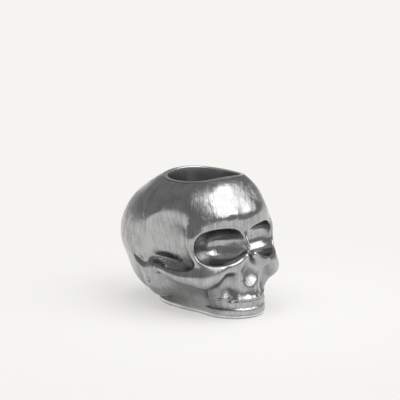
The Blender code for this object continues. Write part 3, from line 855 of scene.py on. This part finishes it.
streak = film_noise(given.outputs["Flow"], *STREAK_NOISE)
ripple = film_noise(film_stretch(given.outputs["Flow"], RIPPLE_STRETCH), *RIPPLE_NOISE)
crumple = film_noise(film_stretch(given.outputs["Flow"], CRUMPLE_STRETCH), *CRUMPLE_NOISE)
patch = film_range(film_noise(given.outputs["Place"], *PATCH_NOISE), *PATCH_RANGE)
patch = film_math("MAXIMUM", patch, given.outputs["Hollow"])
cloud = film_noise(given.outputs["Place"], *CLOUD_NOISE)
dull = film_math("MULTIPLY", film_math("ADD", cloud, streak), 0.5)
dull = film_range(dull, *DULL_RANGE)
# The painted shade share, carried in by the hollow attribute.
deep = film_range(given.outputs["Hollow"], *DEEP_RANGE)
crease = film_math("MULTIPLY", film_range(crumple, *CREASE_RANGE), given.outputs["Creased"])
crease = film_math("MULTIPLY", crease, given.outputs["Crease Tone"])
# Painted shade and highlight along the creases: a crease is painted darker in clear film and lighter
# where the painted shade is already deep.
lighter = film_math("SUBTRACT", deep, crease)
darker = film_math("SUBTRACT", crease, deep)
deep = film_math("MAXIMUM", lighter, darker)
tone = film_mix("RGBA", dull, given.outputs["Clear Colour"], given.outputs["Dull Colour"])
# Painted shade: the colour is mixed towards the painted shade colour.
film.links.new(film_mix("RGBA", deep, tone, given.outputs["Painted Shade Colour"]), result.inputs["Colour"])
rough = film_mix("FLOAT", dull, given.outputs["Clear Roughness"], given.outputs["Dull Roughness"])
film.links.new(rough, result.inputs["Roughness"])
streak_height = film_math("MULTIPLY", streak, given.outputs["Streak Height"])
rippled = film_math("MULTIPLY", ripple, patch)
folded = film_math("MULTIPLY", film_math("MULTIPLY", crumple, given.outputs["Creased"]), FOLDED_SHARE)
crumple_height = film_math("ADD", rippled, folded)
crumple_height = film_math("MULTIPLY", crumple_height, given.outputs["Crumple Height"])
film.links.new(film_math("ADD", streak_height, crumple_height), result.inputs["Height"])


def film_material(name, brightness, roughness, heights, crease):
    """A mirror film: brightness clear, dull and in painted shade, roughness clear and dull, heights,
    and the strength of the painted shade and highlight along creases.
    """
    material = bpy.data.materials.new(name)
    material.use_nodes = True
    tree = material.node_tree
    shader = tree.nodes["Principled BSDF"]
    shader.inputs["Metallic"].default_value = 1.0
    surface = tree.nodes.new("ShaderNodeGroup")
    surface.node_tree = film
    clear, dull, hollow = brightness
    surface.inputs["Clear Colour"].default_value = (clear, clear, clear * COOL_TINT, 1.0)
    surface.inputs["Dull Colour"].default_value = (dull, dull, dull, 1.0)
    surface.inputs["Painted Shade Colour"].default_value = (hollow, hollow, hollow, 1.0)
    surface.inputs["Clear Roughness"].default_value = roughness[0]
    surface.inputs["Dull Roughness"].default_value = roughness[1]
    surface.inputs["Streak Height"].default_value = heights[0]
    surface.inputs["Crumple Height"].default_value = heights[1]
    surface.inputs["Crease Tone"].default_value = crease
    place = tree.nodes.new("ShaderNodeTexCoord")
    tree.links.new(place.outputs["Object"], surface.inputs["Place"])
    for attribute, kind, slot in (
        ("flow", "Vector", "Flow"),
        ("hollow", "Fac", "Hollow"),
        ("creased", "Fac", "Creased"),
    ):
        stored = tree.nodes.new("ShaderNodeAttribute")
        stored.attribute_name = attribute
        tree.links.new(stored.outputs[kind], surface.inputs[slot])
    bump = tree.nodes.new("ShaderNodeBump")
    bump.inputs["Distance"].default_value = MILLIMETRE
    tree.links.new(surface.outputs["Colour"], shader.inputs["Base Color"])
    tree.links.new(surface.outputs["Roughness"], shader.inputs["Roughness"])
    tree.links.new(surface.outputs["Height"], bump.inputs["Height"])
    tree.links.new(bump.outputs["Normal"], shader.inputs["Normal"])
    return material


# The finished skull: one closed mesh of glass in the place of the CAD solid, in five bands: film on
# the outside, polished lip, film in the well, ground underside and polished bead on the foot.
FILM, LIP, WELL, GROUND, BEAD = range(5)
points = np.concatenate([np.zeros((1, 3))] + rows + [floor_middle[None]])
count = len(rows)
columns = list(range(COLUMNS))
neighbours = columns[1:] + [0]
faces = [(0, 1 + b, 1 + a) for a, b in zip(columns, neighbours)]
for k in range(count - 1):
    low = 1 + k * COLUMNS
    high = low + COLUMNS
    faces += [(low + a, low + b, high + b, high + a) for a, b in zip(columns, neighbours)]
last = 1 + (count - 1) * COLUMNS
pole = 1 + count * COLUMNS
faces += [(last + a, last + b, pole) for a, b in zip(columns, neighbours)]
bands = [GROUND] * (len(underside) + 1)
bands += [FILM] * (len(foot_rows) - BEAD_ROWS - 1)
bands += [BEAD] * BEAD_ROWS
bands += [FILM] * WALL_ROWS
bands += [LIP] * len(lip_rows)
bands += [WELL] * (count + 1 - len(bands))
mesh = bpy.data.meshes.new("skull")
mesh.from_pydata(points.tolist(), [], faces)
mesh.polygons.foreach_set("material_index", np.repeat(bands, COLUMNS))
mesh.shade_smooth()
# Each finish: name, brightness clear, dull and in painted shade, roughness clear and dull, heights,
# and painted crease shade and highlight.
for settings in (
    ("silver_film", (0.50, 0.39, 0.14), (0.12, 0.22), (0.060, 0.14), 0.72),
    ("polished_lip", (0.86, 0.76, 0.50), (0.14, 0.24), (0.010, 0.01), 0.1),
    ("well_film", (0.54, 0.44, 0.40), (0.30, 0.42), (0.040, 0.02), 0.2),
    ("ground_foot", (0.36, 0.30, 0.20), (0.45, 0.60), (0.020, 0.05), 0.3),
    ("polished_edge", (0.84, 0.74, 0.70), (0.10, 0.18), (0.006, 0.01), 0.1),
):
    mesh.materials.append(film_material(*settings))
before = len(underside) + len(foot_rows)
flow = flow_of(-before, count)
# Painted shade and the painted darker reflection lie on the outer wall only.
hollow = np.zeros((count, COLUMNS))
hollow[before:before + WALL_ROWS] = painted_shade_and_reflection(wall)
# Crease shares, for the bump folds and the painted shade and highlight along creases.
creases = np.concatenate([[0.0], crumpled(np.concatenate(rows))[1], [0.0]])
flow = np.concatenate([flow[0].mean(0)[None], flow.reshape(-1, 3), flow[-1].mean(0)[None]])
hollow = np.concatenate([[0.0], hollow.ravel(), [0.0]])
mesh.attributes.new("flow", "FLOAT_VECTOR", "POINT").data.foreach_set("vector", flow.ravel())
mesh.attributes.new("hollow", "FLOAT", "POINT").data.foreach_set("value", hollow)
mesh.attributes.new("creased", "FLOAT", "POINT").data.foreach_set("value", creases)
skull = bpy.data.objects.new("skull", mesh)
bpy.context.scene.collection.objects.link(skull)
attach(skull, "root")
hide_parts("skull_votive")


# The table and the backdrop: a wide sheet of matt white card that the holder stands on, and a low
# ring of the same card round it. Beyond the holder's shadow both are evenly white.
SHEET_RADIUS = 3.0
SHEET_SIDES = 96
CARD_COLOUR = (0.90, 0.8964, 0.8865, 1.0)
WHITE_COLOUR = (0.915, 0.905, 0.885, 1.0)
SHADOW_RADIUS = 0.05
SHADOW_LIGHT = 0.58
WHITE_RADIUS = 0.21
BACKDROP_RADIUS = 2.8
BACKDROP_HEIGHT = 0.20
BACKDROP_SIDES = 36


def sheet_material(name, lit):
    """Matt white card. Beyond the shadow, or all over if it isn't lit, it is seen evenly white."""
    material = bpy.data.materials.new(name)
    material.use_nodes = True
    tree = material.node_tree
    tree.nodes.remove(tree.nodes["Principled BSDF"])
    card = tree.nodes.new("ShaderNodeBsdfDiffuse")
    card.inputs["Color"].default_value = CARD_COLOUR
    white = tree.nodes.new("ShaderNodeEmission")
    white.inputs["Color"].default_value = WHITE_COLOUR
    place = tree.nodes.new("ShaderNodeTexCoord")
    away = tree.nodes.new("ShaderNodeVectorMath")
    away.operation = "LENGTH"
    beyond = tree.nodes.new("ShaderNodeMapRange")
    beyond.interpolation_type = "SMOOTHSTEP"
    beyond.inputs["From Min"].default_value = SHADOW_RADIUS if lit else -1.0
    beyond.inputs["From Max"].default_value = WHITE_RADIUS if lit else 0.0
    beyond.inputs["To Min"].default_value = SHADOW_LIGHT
    path = tree.nodes.new("ShaderNodeLightPath")
    seen = path.outputs["Is Camera Ray"]
    for ray in ("Is Glossy Ray", "Is Transmission Ray"):
        either = tree.nodes.new("ShaderNodeMath")
        either.operation = "ADD"
        tree.links.new(seen, either.inputs[0])
        tree.links.new(path.outputs[ray], either.inputs[1])
        seen = either.outputs["Value"]
    share = tree.nodes.new("ShaderNodeMath")
    share.operation = "MULTIPLY"
    share.use_clamp = True
    mix = tree.nodes.new("ShaderNodeMixShader")
    tree.links.new(place.outputs["Object"], away.inputs[0])
    tree.links.new(away.outputs["Value"], beyond.inputs["Value"])
    tree.links.new(seen, share.inputs[0])
    tree.links.new(beyond.outputs["Result"], share.inputs[1])
    tree.links.new(share.outputs["Value"], mix.inputs["Fac"])
    tree.links.new(card.outputs["BSDF"], mix.inputs[1])
    tree.links.new(white.outputs["Emission"], mix.inputs[2])
    tree.links.new(mix.outputs["Shader"], tree.nodes["Material Output"].inputs["Surface"])
    return material


def circle(radius, height, sides):
    """Points once round a level circle, the first of them again at the end."""
    turns = np.linspace(0.0, 2.0 * math.pi, sides + 1)
    return [(radius * math.cos(turn), radius * math.sin(turn), height) for turn in turns]


def stage_piece(name, corners, quads, material):
    """A piece of the studio, which isn't part of the holder."""
    mesh = bpy.data.meshes.new(name)
    mesh.from_pydata(corners, [], quads)
    mesh.materials.append(material)
    piece = bpy.data.objects.new(name, mesh)
    bpy.context.scene.collection.objects.link(piece)


edge = circle(SHEET_RADIUS, 0.0, SHEET_SIDES)[:-1]
stage_piece("table", edge, [tuple(range(SHEET_SIDES))], sheet_material("table_card", True))
low = circle(BACKDROP_RADIUS, 0.0, BACKDROP_SIDES)
high = circle(BACKDROP_RADIUS, BACKDROP_HEIGHT, BACKDROP_SIDES)
size = len(low)
quads = [(k, k + 1, size + k + 1, size + k) for k in range(BACKDROP_SIDES)]
stage_piece("backdrop", low + high, quads, sheet_material("backdrop_card", False))


# The lamps: one large soft box high in front of the face, which the film mirrors, and two smaller
# ones high behind it on either side, which the film doesn't mirror.
LAMP_AIM_HEIGHT = 0.04


def seen_from(target, azimuth, elevation, distance):
    """The place that looks at a target from this side and height, and the turn that looks at it."""
    side = math.radians(azimuth)
    level = distance * math.cos(math.radians(elevation))
    place = (
        target[0] + level * math.sin(side),
        target[1] - level * math.cos(side),
        target[2] + distance * math.sin(math.radians(elevation)),
    )
    return place, (math.radians(90.0 - elevation), 0.0, side)


def soft_box(name, azimuth, elevation, distance, width, height, radiance):
    """A rectangular soft box that looks at the middle of the holder."""
    lamp = bpy.data.lights.new(name, "AREA")
    lamp.shape = "RECTANGLE"
    lamp.size = width
    lamp.size_y = height
    lamp.energy = radiance * math.pi * width * height
    box = bpy.data.objects.new(name, lamp)
    aim = (0.0, 0.0, LAMP_AIM_HEIGHT)
    box.location, box.rotation_euler = seen_from(aim, azimuth, elevation, distance)
    bpy.context.scene.collection.objects.link(box)
    return box


soft_box("main_box", 22.0, 45.5, 1.30, 1.60, 1.18, 2.2)
soft_box("top_box", 120.0, 70.0, 1.60, 0.90, 0.90, 2.7).visible_glossy = False
soft_box("fill_box", -120.0, 70.0, 1.60, 0.90, 0.90, 2.7).visible_glossy = False

world = bpy.data.worlds.new("studio")
bpy.context.scene.world = world
world.use_nodes = True
world.node_tree.nodes["Background"].inputs["Color"].default_value = (0.25, 0.25, 0.254, 1.0)


# The camera, where the photographer's was: in front and to the face's own right, slightly above,
# with a long lens.
SENSOR = 36.0
IMAGE = 400.0
FOCUS_PX = 1760.0
DISTANCE = 1.10
AZIMUTH = -40.0
ELEVATION = 12.0
TARGET = (0.00318, 0.01497, 0.06358)

camera_data = bpy.data.cameras.new("camera")
camera_data.sensor_width = SENSOR
camera_data.lens = FOCUS_PX * SENSOR / IMAGE
camera = bpy.data.objects.new("camera", camera_data)
camera.location, camera.rotation_euler = seen_from(TARGET, AZIMUTH, ELEVATION, DISTANCE)
bpy.context.scene.collection.objects.link(camera)
bpy.context.scene.camera = camera
bpy.context.scene.view_settings.view_transform = "Standard"
